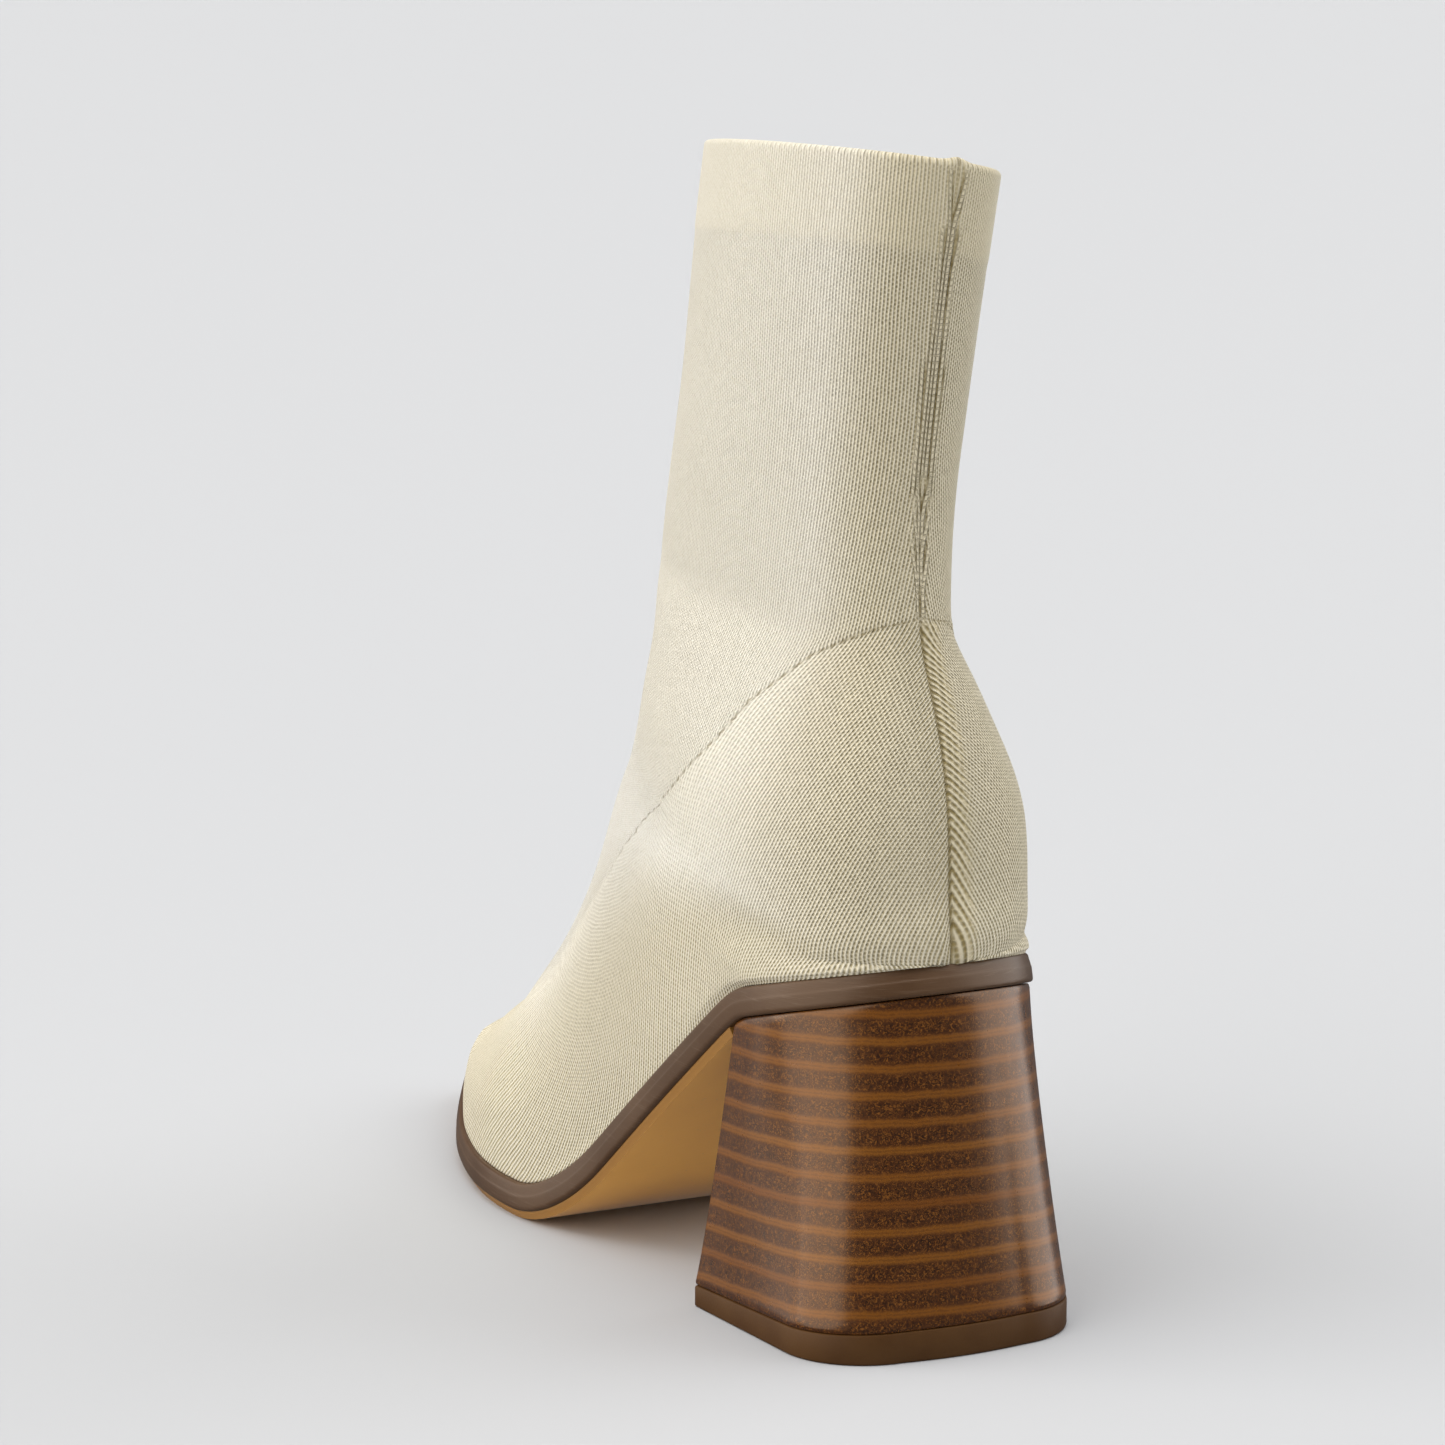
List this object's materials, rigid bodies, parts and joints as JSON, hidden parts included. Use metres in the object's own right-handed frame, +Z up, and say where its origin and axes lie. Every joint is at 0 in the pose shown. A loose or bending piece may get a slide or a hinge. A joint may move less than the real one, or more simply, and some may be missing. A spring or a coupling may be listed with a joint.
{
  "type": "ankle boot",
  "caption": "Knitted sock ankle boot on a flared block heel with a stacked-leather look and a thin tan sole, as a left boot.",
  "frame": {"origin": "centre of the heel top piece's underside, on the floor", "axes": "+X toward the toe, +Y toward the wearer's left (the outer side of this left boot), +Z up"},
  "size_m": [0.2315, 0.082, 0.2312],
  "materials": {
    "knit_upper": "cream rib knit",
    "midsole": "brown satin rand",
    "outsole": "tan satin",
    "heel_block": "dark brown stacked-leather look with fine orange-brown lines",
    "heel_top_piece": "brown matt",
    "insole": "cream matt"
  },
  "bodies": {
    "root": {"knit_upper": "knit_upper", "midsole": "midsole", "outsole": "outsole", "heel_block": "heel_block", "heel_top_piece": "heel_top_piece", "insole": "insole"}
  },
  "joints": []
}
